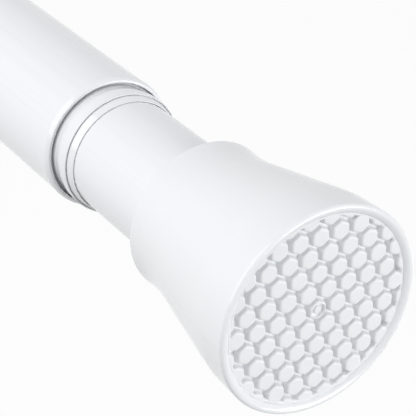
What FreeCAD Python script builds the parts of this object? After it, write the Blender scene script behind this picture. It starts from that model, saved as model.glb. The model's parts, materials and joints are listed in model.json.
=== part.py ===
"""A spring tension rod: two telescoping tubes that are jammed between two walls.

The rod lies along +X. The origin is the centre of the fixed foot's rim plane, and +Z is up.
Turning the inner tube drives a cone into a split sleeve, which locks the length, and a coil
spring inside the inner tube then presses both feet against the walls. Lengths are millimetres.
"""

import FreeCAD, Part
import math
import os

V = FreeCAD.Vector
ORIGIN, X_AXIS, Z_AXIS = V(0, 0, 0), V(1, 0, 0), V(0, 0, 1)

# Clearances
RUN_GAP = 0.08              # round running fit
SEAT_GAP = 0.05             # between pieces pressed or snapped together
LOOSE_GAP = 0.3             # between moving pieces that don't guide each other
END_GAP = 0.1               # left at the bottom of a seat
EDGE = 0.3                  # small edge chamfers and rounds

# Travel
TRAVEL_OUT, TRAVEL_IN = 220.0, 13.0
SPRING_STROKE = 14.0
WEDGE_TRAVEL = 4.5
FOOT_ROOM = 1.5             # left between the moving foot and the collar when all is closed
SCREW_ROOM = 4.45           # left between the lock and the fixed foot when all is closed
BUSH_ROOM = 3.1             # left between the lock and the inner tube when the spring is pressed in

# Tubes
INNER_TUBE_R = 12.5
INNER_WALL = 0.7
OUTER_WALL = 0.6
MOUTH_BEAD = 0.07           # how far the bead before the mouth stands proud
BEAD_START, BEAD_RISE = 3.6, 1.4
MOUTH_ROLL = 2.2            # length of the roll
MOUTH_DROP = 0.35           # how far the roll turns in
MOUTH_LIP_WALL = 0.55
LIP_ROUND = 0.1

# Guide collar in the outer tube's mouth
GUIDE_GAP = 0.35            # round the inner tube
GUIDE_WALL = 1.3
GUIDE_LENGTH = 39.5         # inside the tube
GUIDE_CHAMFER = 0.2
GUIDE_FINGERS, FINGER_SLOT, FINGER_LENGTH = 4, 2.5, 21.0
COLLAR_NOSE = 5.3           # how far it stands out of the mouth
NOSE_GAP, NOSE_ROUND = 0.3, 0.2
NECK_DROP, NECK_END, NECK_RISE = 0.35, 0.8, 2.4     # neck behind the nose, under the tube's lip
WIPER_LIP, WIPER_WALL, WIPER_TIP_WALL = 1.8, 0.62, 0.16     # tapered lip close to the inner tube
WIPER_SLOT_DEPTH = 0.5

# Foot moulding, measured back from its rim plane
FOOT_FLARE = 6.3            # how far the rim stands out past the outer tube
RIM_WIDTH = 1.9             # at the pad
RIM_SLOPE, RIM_SLOPE_RUN = 0.72, 1.0    # depth and width of the slope inside the rim
RIM_ROUND = 0.7
BAND_END, BAND_TAPER = 6.8, 0.25
SHOULDER_LENGTH, SHOULDER_DROP = 6.5, 1.4
CONE_LENGTH = 16.7
WAIST_FILLET, WAIST_DROP, CONE_BACK_RISE = 5.2, 0.18, 0.43
COLLAR_WALL, COLLAR_LENGTH = 1.35, 3.8
PAD_SEAT_DEPTH = 3.0
FLOOR_THICKNESS = 2.4
FOOT_WALL = 1.8
SOCKET_WALL = 1.35
POCKET_PAST_SHOULDER = 1.8
POCKET_RIBS, POCKET_RIB = 12, 1.4

# Pad
PAD_RECESS = 0.72           # tops of the hexagons, behind the rim plane
PAD_RING, RING_LEAN = 0.6, 0.12
HEX_PITCH = 4.35
HEX_HEIGHT = 0.95
GROOVE_FOOT, GROOVE_TOP = 0.5, 1.05
HEX_SHOULDER = 0.18
GATE_CUP_WALL, GATE_CUP_DEPTH = 0.45, 0.6
GATE_R, GATE_HEIGHT = 0.75, 0.4
PEG_R, PEG_CIRCLE_R, PEG_COUNT = 1.6, 9.0, 3
PEG_SHORT = 0.4             # how far the pegs end before the floor's back
MERGE = 0.2                 # how far what is fused together reaches into it

# Reducer sleeve in the moving foot
REDUCER_FLUTES, FLUTE_R, FLUTE_DEPTH = 8, 2.2, 0.9
REDUCER_SHORT, FLUTE_SHORT = 1.0, 3.0

# Lock
TAPER_LENGTH, SLEEVE_NECK, HUB_LENGTH = 15.0, 13.0, 10.0
SLEEVE_LIP, SLEEVE_BORE_R = 2.6, 8.6
SLEEVE_SLOTS, SLOT_WIDTH, SLOT_SHORT = 4, 2.6, 1.0
GRIP_RIBS, GRIP_RIB_PITCH, GRIP_GROOVE, GRIP_GROOVE_DEPTH, GRIP_START = 6, 3.2, 1.2, 0.35, 4.0
DRAG_RING_WIRE, DRAG_RING_GAP = 1.9, 0.25
WEDGE_FLANGE = 2.5
KEY_WIDTH, KEY_BACK, KEY_ROOT = 2.0, 1.3, 1.0
SCREW_R, SCREW_CHAMFER, CLIP_GROOVE_DEPTH, CLIP_GROOVE = 4.5, 0.5, 0.9, 1.1
CLIP_SIDE_ROOM, CLIP_THICKNESS, CLIP_LOBE_R, CLIP_MOUTH = 1.2, 1.0, 1.6, 0.85
CLIP_LOBES = 2
THRUST_R, THRUST_THICKNESS = 9.0, 3.0
WASHER_THICKNESS = 1.0
SHANK_SIDE, SHANK_CHAMFER, SHANK_PROUD = 8.0, 0.6, 0.5
STOP_WASHER_R, STOP_SCREW_R, STOP_HEAD_R, STOP_HEAD = 6.5, 1.5, 3.2, 2.0
STOP_SCREW_LENGTH, STOP_SCREW_TIP, STOP_SCREW_TIP_R = 9.0, 1.0, 0.5
RECESS_DEPTH, RECESS_LENGTH, RECESS_WIDTH = 1.2, 3.4, 0.7

# Spring and its seats in the inner tube
BUSH_FLANGE, BUSH_FLANGE_GAP, BUSH_LENGTH = 3.0, 0.4, 18.0
PISTON_GAP, PISTON_THICKNESS = 0.4, 6.0
BOSS_GAP, BOSS_LENGTH, BOSS_CHAMFER = 0.6, 6.0, 0.8
PISTON_PIN_R, PISTON_PIN_SHORT = 1.25, 0.4
BUSH_PIN_R, BUSH_PIN_AT, BUSH_PIN_WEB = 1.5, 9.0, 1.87
SPRING_WIRE, SPRING_SIDE_GAP = 2.2, 1.8
SPRING_CLOSED_GAP, SPRING_PITCH, SPRING_TURNS = 0.1, 8.6, 7
STOP_PLUG_LENGTH, STOP_PLUG_BORE_R = 12.0, 3.5
ROLLED_GROOVE_DEPTH, ROLLED_GROOVE, ROLLED_GROOVE_ROOM = 0.9, 3.0, 0.2

# Radii, from the inner tube outwards
INNER_BORE_R = INNER_TUBE_R - INNER_WALL
GUIDE_BORE_R = INNER_TUBE_R + GUIDE_GAP
GUIDE_R = GUIDE_BORE_R + GUIDE_WALL
OUTER_BORE_R = GUIDE_R + SEAT_GAP
OUTER_TUBE_R = OUTER_BORE_R + OUTER_WALL
MOUTH_LIP_R = OUTER_TUBE_R - MOUTH_DROP
NOSE_R = MOUTH_LIP_R - MOUTH_LIP_WALL - NOSE_GAP
NECK_R = NOSE_R - NECK_DROP
WIPER_BORE_R = INNER_TUBE_R + RUN_GAP
WIPER_R = WIPER_BORE_R + WIPER_WALL
SOCKET_R = OUTER_TUBE_R + SEAT_GAP
COLLAR_R = SOCKET_R + COLLAR_WALL
WAIST_R = COLLAR_R - WAIST_DROP
CONE_BACK_R = WAIST_R + CONE_BACK_RISE
FOOT_R = OUTER_TUBE_R + FOOT_FLARE
PAD_SEAT_R = FOOT_R - RIM_WIDTH
BAND_R = FOOT_R - BAND_TAPER
CONE_FRONT_R = FOOT_R - SHOULDER_DROP
SLEEVE_R = OUTER_BORE_R - LOOSE_GAP
SLEEVE_MOUTH_R = SLEEVE_R - SLEEVE_LIP
DRAG_GROOVE_R = OUTER_BORE_R - DRAG_RING_GAP - DRAG_RING_WIRE - SEAT_GAP
KEY_R = SLEEVE_R - KEY_BACK
CLIP_GROOVE_R = SCREW_R - CLIP_GROOVE_DEPTH
CLIP_R = SLEEVE_BORE_R - CLIP_SIDE_ROOM
BUSH_FLANGE_R = OUTER_BORE_R - BUSH_FLANGE_GAP
PISTON_R = INNER_BORE_R - PISTON_GAP
SPRING_R = INNER_BORE_R - SPRING_SIDE_GAP - SPRING_WIRE / 2
BOSS_R = SPRING_R - SPRING_WIRE / 2 - BOSS_GAP
HEX_FOOT_FLATS = HEX_PITCH - GROOVE_FOOT
HEX_TOP_FLATS = HEX_PITCH - GROOVE_TOP

# Places along a foot, back from its rim plane
CONE_FRONT = BAND_END + SHOULDER_LENGTH
CONE_BACK = CONE_FRONT + CONE_LENGTH
WAIST_AT = CONE_BACK + WAIST_FILLET
FOOT_LENGTH = WAIST_AT + COLLAR_LENGTH
TUBE_SEAT = PAD_SEAT_DEPTH + FLOOR_THICKNESS

# Places along the rod, from the fixed foot's rim plane
STOP_HEAD_START = TUBE_SEAT + SCREW_ROOM + TRAVEL_IN
STOP_WASHER_AT = STOP_HEAD_START + STOP_HEAD + SEAT_GAP
SCREW_START = STOP_WASHER_AT + WASHER_THICKNESS + SEAT_GAP
WEDGE_START = SCREW_START + WASHER_THICKNESS + SEAT_GAP
SLEEVE_START = WEDGE_START + WEDGE_FLANGE + WEDGE_TRAVEL
TAPER_END = SLEEVE_START + TAPER_LENGTH
HUB_START = TAPER_END + SLEEVE_NECK
HUB_END = HUB_START + HUB_LENGTH
DRAG_RING_AT = (HUB_START + HUB_END) / 2
CLIP_START = HUB_START - END_GAP - CLIP_THICKNESS
THRUST_START = HUB_END + WASHER_THICKNESS + 2 * SEAT_GAP
SHANK_START = THRUST_START + THRUST_THICKNESS
BUSH_START = SHANK_START + SPRING_STROKE + BUSH_ROOM
INNER_TUBE_START = BUSH_START + BUSH_FLANGE
BUSH_PIN_X = INNER_TUBE_START + BUSH_PIN_AT
PISTON_START = INNER_TUBE_START + BUSH_LENGTH + LOOSE_GAP
BOSS_START = PISTON_START + PISTON_THICKNESS
BOSS_END = BOSS_START + BOSS_LENGTH
PISTON_PIN_X = (BOSS_START + BOSS_END + WASHER_THICKNESS) / 2
SPRING_END_PITCH = SPRING_WIRE + SPRING_CLOSED_GAP
SPRING_START = BOSS_START + WASHER_THICKNESS + SEAT_GAP
SPRING_LENGTH = SPRING_WIRE + 2 * SPRING_END_PITCH + SPRING_PITCH * SPRING_TURNS
END_WASHER_START = SPRING_START + SPRING_LENGTH + SEAT_GAP
PLUG_START = END_WASHER_START + WASHER_THICKNESS + SEAT_GAP
PLUG_GROOVE_AT = PLUG_START + STOP_PLUG_LENGTH / 2
GUIDE_END = INNER_TUBE_START + LOOSE_GAP + TRAVEL_OUT
MOUTH = GUIDE_END + GUIDE_LENGTH
NOSE_END = MOUTH + COLLAR_NOSE
WIPER_END = NOSE_END + WIPER_LIP
FOOT_BACK = WIPER_END + TRAVEL_IN + SPRING_STROKE + FOOT_ROOM
ROD_LENGTH = FOOT_BACK + FOOT_LENGTH
INNER_TUBE_END = ROD_LENGTH - TUBE_SEAT - END_GAP


def wire(start, *steps):
    """Closed outline in the X-R plane: a pair is a line's end, two pairs an arc's middle and end."""
    here, edges = V(*start, 0), []
    for step in steps:
        if isinstance(step[0], tuple):
            middle, end = V(*step[0], 0), V(*step[1], 0)
            edges.append(Part.Arc(here, middle, end).toShape())
        else:
            end = V(*step, 0)
            edges.append(Part.LineSegment(here, end).toShape())
        here = end
    edges.append(Part.LineSegment(here, V(*start, 0)).toShape())
    return Part.Wire(edges)


def turned(start, *steps):
    """Solid turned about the rod's axis from an outline of (x, radius) steps."""
    return Part.Face(wire(start, *steps)).revolve(ORIGIN, X_AXIS, 360)


def ring(x0, x1, outer_r, inner_r=0.0):
    """Plain ring or disc about the rod's axis."""
    body = Part.makeCylinder(outer_r, x1 - x0, V(x0, 0, 0), X_AXIS)
    if inner_r:
        body = body.cut(Part.makeCylinder(inner_r, x1 - x0, V(x0, 0, 0), X_AXIS))
    return body


def square_bar(x0, x1, side):
    """Square bar along the rod's axis."""
    return Part.makeBox(x1 - x0, side, side, V(x0, -side / 2, -side / 2))


def around(shape, count, first=0.0):
    """Copies of a shape, evenly turned about the rod's axis."""
    copies = []
    for i in range(count):
        copy = shape.copy()
        copy.rotate(ORIGIN, X_AXIS, first + 360.0 * i / count)
        copies.append(copy)
    return copies


def round_over(x, r, radius, sx, sr):
    """Arc of a rounded corner at (x, r): the end points lie at sx along X and sr along R from it."""
    c = radius * (1 - math.sqrt(0.5))
    return (x + sx * c, r + sr * c)


def at_moving_end(shape):
    """Turns a piece modelled at the fixed end so that it stands at the moving end."""
    shape = shape.copy()
    shape.rotate(ORIGIN, Z_AXIS, 180)
    shape.translate(V(ROD_LENGTH, 0, 0))
    return shape


def outer_tube():
    """Tube with a faint bead before its mouth, and the mouth rolled in to a thin lip."""
    roll = MOUTH - MOUTH_ROLL
    bead_r = OUTER_TUBE_R + MOUTH_BEAD
    lip = MOUTH - LIP_ROUND
    lip_in = MOUTH_LIP_R - MOUTH_LIP_WALL
    return turned(
        (TUBE_SEAT + END_GAP, OUTER_BORE_R),
        (TUBE_SEAT + END_GAP, OUTER_TUBE_R),
        (roll - BEAD_START, OUTER_TUBE_R),
        ((roll - BEAD_RISE, OUTER_TUBE_R + 0.6 * MOUTH_BEAD), (roll, bead_r)),
        ((roll + 0.66 * MOUTH_ROLL, bead_r - 0.32 * MOUTH_DROP), (lip, MOUTH_LIP_R)),
        ((MOUTH, MOUTH_LIP_R - MOUTH_LIP_WALL / 2), (lip, lip_in)),
        ((MOUTH - 0.41 * MOUTH_ROLL, lip_in + 0.16 * MOUTH_DROP), (roll, OUTER_BORE_R)),
    )


def guide_collar():
    """Plastic collar behind the rolled lip, with a rounded nose, a wiper lip and springy fingers."""
    lead_in = 3 * GUIDE_CHAMFER
    neck_end = MOUTH + NECK_END
    rise_end = neck_end + NECK_RISE
    slot_r = NOSE_R - NOSE_ROUND
    body = turned(
        (GUIDE_END, GUIDE_BORE_R + lead_in),
        (GUIDE_END, GUIDE_R - GUIDE_CHAMFER),
        (GUIDE_END + GUIDE_CHAMFER, GUIDE_R),
        (MOUTH - MOUTH_ROLL - EDGE, GUIDE_R),
        (MOUTH - 3 * EDGE, NECK_R),
        (neck_end, NECK_R),
        ((neck_end + 0.4 * NECK_RISE, NECK_R + 0.55 * NECK_DROP), (rise_end, NOSE_R)),
        (NOSE_END - NOSE_ROUND, NOSE_R),
        (round_over(NOSE_END, NOSE_R, NOSE_ROUND, -1, -1), (NOSE_END, slot_r)),
        (NOSE_END - WIPER_SLOT_DEPTH, slot_r),
        (NOSE_END - WIPER_SLOT_DEPTH, WIPER_R),
        (NOSE_END, WIPER_R),
        (WIPER_END, WIPER_BORE_R + WIPER_TIP_WALL),
        (WIPER_END, WIPER_BORE_R),
        (MOUTH, WIPER_BORE_R),
        (MOUTH - lead_in, GUIDE_BORE_R),
        (GUIDE_END + lead_in, GUIDE_BORE_R),
    )
    slot_end = GUIDE_END + FINGER_LENGTH
    slot = Part.makeBox(FINGER_LENGTH, FINGER_SLOT, 2 * OUTER_TUBE_R, V(GUIDE_END, -FINGER_SLOT / 2, 0))
    end = Part.makeCylinder(FINGER_SLOT / 2, 2 * OUTER_TUBE_R, V(slot_end, 0, 0), Z_AXIS)
    return body.cut(around(slot.fuse(end), GUIDE_FINGERS, 45))


def foot_wall_r(x):
    """Outside radius of the foot's straight cone."""
    slope = (CONE_FRONT_R - CONE_BACK_R) / (CONE_BACK - CONE_FRONT)
    return CONE_FRONT_R - slope * (x - CONE_FRONT)


def foot_outline():
    """Foot turned from its outline: rounded rim, band, cone, waist with a crease, back collar."""
    shoulder_r = (CONE_FRONT_R + BAND_R) / 2 + 0.3 * EDGE
    rim_r = PAD_SEAT_R + RIM_SLOPE_RUN
    return turned(
        (RIM_SLOPE, PAD_SEAT_R),
        ((0.4 * RIM_SLOPE, PAD_SEAT_R + 0.4 * RIM_SLOPE_RUN), (0, rim_r)),
        (0, FOOT_R - RIM_ROUND),
        (round_over(0, FOOT_R, RIM_ROUND, 1, -1), (RIM_ROUND, FOOT_R)),
        (BAND_END, BAND_R),
        (((BAND_END + CONE_FRONT) / 2, shoulder_r), (CONE_FRONT, CONE_FRONT_R)),
        (CONE_BACK, CONE_BACK_R),
        (((CONE_BACK + WAIST_AT) / 2, WAIST_R + 0.3 * CONE_BACK_RISE), (WAIST_AT, WAIST_R)),
        ((WAIST_AT + COLLAR_LENGTH / 2, WAIST_R + 0.3 * WAIST_DROP), (FOOT_LENGTH - EDGE, COLLAR_R)),
        (round_over(FOOT_LENGTH, COLLAR_R, EDGE, -1, -1), (FOOT_LENGTH, COLLAR_R - EDGE)),
        (FOOT_LENGTH, SOCKET_R + EDGE),
        (FOOT_LENGTH - EDGE, SOCKET_R),
        (TUBE_SEAT, SOCKET_R),
        (TUBE_SEAT, 0),
        (PAD_SEAT_DEPTH, 0),
        (PAD_SEAT_DEPTH, PAD_SEAT_R),
    )


def foot_pockets():
    """Cored-out pockets between the socket and the outer wall, left between the ribs."""
    x0, x1 = PAD_SEAT_DEPTH, CONE_FRONT + POCKET_PAST_SHOULDER
    inner = SOCKET_R + SOCKET_WALL
    ring_pocket = turned(
        (x0, inner),
        (x0, min(foot_wall_r(x0), PAD_SEAT_R) - FOOT_WALL / 2),
        (CONE_FRONT, CONE_FRONT_R - FOOT_WALL),
        (x1, foot_wall_r(x1) - FOOT_WALL),
        (x1, inner),
    )
    rib = Part.makeBox(x1 - x0, POCKET_RIB, FOOT_R, V(x0, -POCKET_RIB / 2, 0))
    return ring_pocket.cut(around(rib, POCKET_RIBS))


def foot():
    """One foot moulding, rim plane at the origin and facing -X."""
    peg_hole = ring(PAD_SEAT_DEPTH, TUBE_SEAT, PEG_R + SEAT_GAP)
    peg_hole.translate(V(0, 0, PEG_CIRCLE_R))
    return foot_outline().cut([foot_pockets()] + around(peg_hole, PEG_COUNT))


def hexagon(x, flats):
    """Hexagon across the rod's axis, corners up and down."""
    r = flats / math.sqrt(3)
    points = [V(x, r * math.sin(math.radians(60 * i)), r * math.cos(math.radians(60 * i))) for i in range(7)]
    return Part.makePolygon(points)


def raised_hexagon(top, floor):
    """Tapered hexagon with a bevelled shoulder, from the pad's floor to its top."""
    shoulder = hexagon(top + HEX_SHOULDER, HEX_TOP_FLATS + HEX_SHOULDER)
    return Part.makeLoft([hexagon(floor, HEX_FOOT_FLATS), shoulder, hexagon(top, HEX_TOP_FLATS)], True, True)


def hex_centres(reach):
    """Places of the hexagons, in rows along Y, out to a reach from the middle."""
    rows = int(reach / (HEX_PITCH * math.sqrt(0.75))) + 1
    for row in range(-rows, rows + 1):
        z = row * HEX_PITCH * math.sqrt(0.75)
        shift = HEX_PITCH / 2 if row % 2 else 0.0
        for column in range(-rows - 1, rows + 2):
            y = column * HEX_PITCH + shift
            if math.hypot(y, z) < reach:
                yield y, z


def pad():
    """Soft pad with raised hexagons inside a plain ring, a gate cup in the middle and pegs behind."""
    pad_r = PAD_SEAT_R - SEAT_GAP
    ring_r = pad_r - PAD_RING
    top, floor = PAD_RECESS, PAD_RECESS + HEX_HEIGHT
    sheet = turned(
        (floor, 0),
        (floor, ring_r - RING_LEAN),
        (top + HEX_SHOULDER, ring_r),
        (top, ring_r + HEX_SHOULDER),
        (top, pad_r - HEX_SHOULDER),
        (top + HEX_SHOULDER, pad_r),
        (PAD_SEAT_DEPTH, pad_r),
        (PAD_SEAT_DEPTH, 0),
    )
    model = raised_hexagon(top, floor + MERGE)
    clip = ring(0, PAD_SEAT_DEPTH, ring_r + 1.5 * MERGE)
    studs = []
    for y, z in hex_centres(ring_r + 0.35 * HEX_PITCH):
        stud = model.copy()
        stud.translate(V(0, y, z))
        if math.hypot(y, z) > ring_r - HEX_PITCH:
            stud = stud.common(clip)
        studs.append(stud)
    gate_floor = top + GATE_CUP_DEPTH
    cup_flats = HEX_TOP_FLATS - 2 * GATE_CUP_WALL
    cup = Part.makeLoft([hexagon(top, cup_flats), hexagon(gate_floor, cup_flats)], True, True)
    gate = ring(gate_floor - GATE_HEIGHT, gate_floor + MERGE / 2, GATE_R)
    peg = ring(PAD_SEAT_DEPTH, TUBE_SEAT - PEG_SHORT, PEG_R)
    peg.translate(V(0, 0, PEG_CIRCLE_R))
    body = sheet.multiFuse(studs).cut(cup)
    return body.multiFuse([gate] + around(peg, PEG_COUNT)).removeSplitter()


def reducer_sleeve():
    """Fluted sleeve that fills the moving foot's socket round the thinner tube, at the fixed end."""
    end = FOOT_LENGTH - REDUCER_SHORT
    body = turned(
        (TUBE_SEAT + END_GAP, INNER_TUBE_R + SEAT_GAP),
        (TUBE_SEAT + END_GAP, OUTER_TUBE_R),
        (end, OUTER_TUBE_R),
        (end, INNER_TUBE_R + SEAT_GAP + EDGE),
        (end - EDGE, INNER_TUBE_R + SEAT_GAP),
    )
    length = end - TUBE_SEAT - FLUTE_SHORT
    flute = Part.makeCylinder(FLUTE_R, length, V(TUBE_SEAT, 0, OUTER_TUBE_R + FLUTE_R - FLUTE_DEPTH), X_AXIS)
    return body.cut(around(flute, REDUCER_FLUTES))


def grip_sleeve():
    """Split sleeve: four fingers with a tapered bore, gripping grooves, and a hub for the screw."""
    body = turned(
        (SLEEVE_START, SLEEVE_MOUTH_R),
        (SLEEVE_START, SLEEVE_R - EDGE),
        (SLEEVE_START + EDGE, SLEEVE_R),
        (HUB_END - EDGE, SLEEVE_R),
        (HUB_END, SLEEVE_R - EDGE),
        (HUB_END, SCREW_R + RUN_GAP),
        (HUB_START, SCREW_R + RUN_GAP),
        (HUB_START, SLEEVE_BORE_R),
        (TAPER_END, SLEEVE_BORE_R),
    )
    slot = Part.makeBox(HUB_START - SLEEVE_START, SLOT_WIDTH, 2 * SLEEVE_R,
                        V(SLEEVE_START - SLOT_SHORT, -SLOT_WIDTH / 2, 0))
    cuts = around(slot, SLEEVE_SLOTS)
    for i in range(GRIP_RIBS):
        x = SLEEVE_START + GRIP_START + i * GRIP_RIB_PITCH
        cuts.append(ring(x, x + GRIP_GROOVE, OUTER_TUBE_R, SLEEVE_R - GRIP_GROOVE_DEPTH))
    half = DRAG_RING_WIRE / 2 + END_GAP
    cuts.append(ring(DRAG_RING_AT - half, DRAG_RING_AT + half, OUTER_TUBE_R, DRAG_GROOVE_R))
    return body.cut(cuts)


def drag_ring():
    """Rubber ring in the hub's groove."""
    r = DRAG_GROOVE_R + SEAT_GAP + DRAG_RING_WIRE / 2
    return Part.makeTorus(r, DRAG_RING_WIRE / 2, V(DRAG_RING_AT, 0, 0), X_AXIS)


def wedge_nut():
    """Cone that spreads the sleeve, with a nut's bore and four keys that run in the slots."""
    cone_start = WEDGE_START + WEDGE_FLANGE
    end = cone_start + TAPER_LENGTH
    bore = SCREW_R + RUN_GAP
    wide, narrow = SLEEVE_MOUTH_R - LOOSE_GAP, SLEEVE_BORE_R - LOOSE_GAP
    body = turned(
        (WEDGE_START, bore + GUIDE_CHAMFER),
        (WEDGE_START, wide),
        (cone_start, wide),
        (end, narrow),
        (end, bore),
        (WEDGE_START + GUIDE_CHAMFER, bore),
    )
    key_foot = narrow - KEY_ROOT
    key = Part.makeBox(end - WEDGE_START, KEY_WIDTH, KEY_R - key_foot,
                       V(WEDGE_START, -KEY_WIDTH / 2, key_foot))
    return body.multiFuse(around(key, SLEEVE_SLOTS)).removeSplitter()


def lock_screw():
    """Screw with a clip groove, a thrust flange and a square shank that ends in the piston."""
    groove_end = CLIP_START + CLIP_GROOVE
    round_part = turned(
        (SCREW_START, 0),
        (SCREW_START, SCREW_R - SCREW_CHAMFER),
        (SCREW_START + SCREW_CHAMFER, SCREW_R),
        (CLIP_START, SCREW_R),
        (CLIP_START, CLIP_GROOVE_R),
        (groove_end, CLIP_GROOVE_R),
        (groove_end, SCREW_R),
        (THRUST_START, SCREW_R),
        (THRUST_START, THRUST_R - EDGE),
        (THRUST_START + EDGE, THRUST_R),
        (SHANK_START, THRUST_R),
        (SHANK_START, 0),
    )
    shank = square_bar(SHANK_START, BOSS_END + SHANK_PROUD, SHANK_SIDE)
    long_edges = [e for e in shank.Edges if abs(e.tangentAt(e.FirstParameter).x) > 0.9]
    shank = shank.makeChamfer(SHANK_CHAMFER, long_edges)
    pin_hole = Part.makeCylinder(PISTON_PIN_R + SEAT_GAP, 2 * BOSS_R, V(PISTON_PIN_X, 0, -BOSS_R), Z_AXIS)
    screw_hole = ring(SCREW_START, SCREW_START + STOP_SCREW_LENGTH + STOP_SCREW_TIP, STOP_SCREW_R + SEAT_GAP)
    return round_part.fuse(shank).cut([pin_hole, screw_hole])


def thrust_washer():
    """Steel washer between the sleeve's hub and the screw's flange."""
    x = HUB_END + SEAT_GAP
    return ring(x, x + WASHER_THICKNESS, THRUST_R, SCREW_R + RUN_GAP)


def retaining_clip():
    """Open clip in the screw's groove, behind the hub."""
    inner = CLIP_GROOVE_R + SEAT_GAP
    start = CLIP_START + SEAT_GAP
    half = CLIP_MOUTH * inner
    clip = ring(start, start + CLIP_THICKNESS, CLIP_R, inner)
    mouth = Part.makeBox(CLIP_THICKNESS, 2 * half, SLEEVE_R, V(start, -half, 0))
    lobe = Part.makeCylinder(CLIP_LOBE_R, CLIP_THICKNESS, V(start, 0, CLIP_R), X_AXIS)
    return clip.cut([mouth] + around(lobe, CLIP_LOBES + 1)[1:])


def stop_washer():
    """Washer on the screw's end that keeps the wedge nut on."""
    return ring(STOP_WASHER_AT, STOP_WASHER_AT + WASHER_THICKNESS, STOP_WASHER_R, STOP_SCREW_R + SEAT_GAP)


def stop_screw():
    """Pan-head screw with a cross recess, in the end of the lock screw."""
    seat = STOP_HEAD_START + STOP_HEAD
    tip = seat + STOP_SCREW_LENGTH
    body = turned(
        (STOP_HEAD_START, 0),
        ((seat - 0.7 * STOP_HEAD, 0.75 * STOP_HEAD_R), (seat - EDGE, STOP_HEAD_R)),
        (seat, STOP_HEAD_R),
        (seat, STOP_SCREW_R),
        (tip - STOP_SCREW_TIP, STOP_SCREW_R),
        (tip, STOP_SCREW_TIP_R),
        (tip, 0),
    )
    corner = V(STOP_HEAD_START, -RECESS_LENGTH / 2, -RECESS_WIDTH / 2)
    blade = Part.makeBox(RECESS_DEPTH, RECESS_LENGTH, RECESS_WIDTH, corner)
    return body.cut(around(blade, 4)[:2])


def spring_piston():
    """Seat of the spring on the square shank, with a boss inside the coils."""
    body = turned(
        (PISTON_START, 0),
        (PISTON_START, PISTON_R - EDGE),
        (PISTON_START + EDGE, PISTON_R),
        (BOSS_START, PISTON_R),
        (BOSS_START, BOSS_R),
        (BOSS_END - BOSS_CHAMFER, BOSS_R),
        (BOSS_END, BOSS_R - BOSS_CHAMFER),
        (BOSS_END, 0),
    )
    hole = square_bar(PISTON_START, BOSS_END, SHANK_SIDE + 2 * SEAT_GAP)
    pin_hole = Part.makeCylinder(PISTON_PIN_R + SEAT_GAP, 2 * BOSS_R, V(PISTON_PIN_X, 0, -BOSS_R), Z_AXIS)
    return body.cut([hole, pin_hole])


def slotted_pin(radius, length, base, axis):
    """Rolled spring pin: a slit tube along an axis."""
    body = Part.makeCylinder(radius, length, base, axis)
    bore = Part.makeCylinder(0.55 * radius, length, base, axis)
    slit = Part.makeBox(0.3 * radius, 2 * radius, length, V(base.x - 0.15 * radius, base.y, base.z))
    return body.cut([bore, slit])


def piston_pin():
    """Spring pin through the piston's boss and the shank."""
    half = BOSS_R - PISTON_PIN_SHORT
    return slotted_pin(PISTON_PIN_R, 2 * half, V(PISTON_PIN_X, 0, -half), Z_AXIS)


def spring_washer(x):
    """Steel washer under one end of the spring."""
    return ring(x, x + WASHER_THICKNESS - SEAT_GAP, PISTON_R - LOOSE_GAP, BOSS_R + END_GAP)


def compression_spring():
    """Coil spring with one closed turn at each end."""
    edges, z, turns_done = [], 0.0, 0
    for pitch, turns in ((SPRING_END_PITCH, 1), (SPRING_PITCH, SPRING_TURNS), (SPRING_END_PITCH, 1)):
        piece = Part.makeHelix(pitch, pitch * turns, SPRING_R)
        piece.rotate(ORIGIN, Z_AXIS, 360.0 * turns_done)
        piece.translate(V(0, 0, z))
        edges += piece.Edges
        z += pitch * turns
        turns_done += turns
    rise = math.atan2(SPRING_END_PITCH, 2 * math.pi * SPRING_R)
    section = Part.Circle(V(SPRING_R, 0, 0), V(0, math.cos(rise), math.sin(rise)), SPRING_WIRE / 2)
    coil = Part.Wire(edges).makePipeShell([Part.Wire([section.toShape()])], True, True)
    coil.rotate(ORIGIN, V(0, 1, 0), 90)
    coil.translate(V(SPRING_START + SPRING_WIRE / 2, 0, 0))
    return coil


def inner_tube():
    """Thinner tube with a groove rolled in over the spring stop and holes for the bush's pins."""
    half = ROLLED_GROOVE / 2
    x = PLUG_GROOVE_AT
    low_out, low_in = INNER_TUBE_R - ROLLED_GROOVE_DEPTH, INNER_BORE_R - ROLLED_GROOVE_DEPTH
    body = turned(
        (INNER_TUBE_START, INNER_BORE_R),
        (INNER_TUBE_START, INNER_TUBE_R),
        (x - half, INNER_TUBE_R),
        ((x, low_out), (x + half, INNER_TUBE_R)),
        (INNER_TUBE_END, INNER_TUBE_R),
        (INNER_TUBE_END, INNER_BORE_R),
        (x + half, INNER_BORE_R),
        ((x, low_in), (x - half, INNER_BORE_R)),
    )
    hole = Part.makeCylinder(BUSH_PIN_R + SEAT_GAP, OUTER_TUBE_R, V(BUSH_PIN_X, 0, 0), Z_AXIS)
    return body.cut(around(hole, 2))


def tube_end_bush():
    """Flanged bush in the inner tube's end, with a square hole for the shank."""
    seat = INNER_TUBE_START - SEAT_GAP
    end = INNER_TUBE_START + BUSH_LENGTH
    body = turned(
        (BUSH_START, 0),
        (BUSH_START, BUSH_FLANGE_R - EDGE),
        (BUSH_START + EDGE, BUSH_FLANGE_R),
        (seat, BUSH_FLANGE_R),
        (seat, INNER_BORE_R - SEAT_GAP),
        (end, INNER_BORE_R - SEAT_GAP),
        (end, 0),
    )
    hole = square_bar(BUSH_START, end, SHANK_SIDE + 2 * RUN_GAP)
    pin = Part.makeCylinder(BUSH_PIN_R + SEAT_GAP, INNER_TUBE_R, V(BUSH_PIN_X, 0, 0), Z_AXIS)
    return body.cut([hole] + around(pin, 2))


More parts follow.
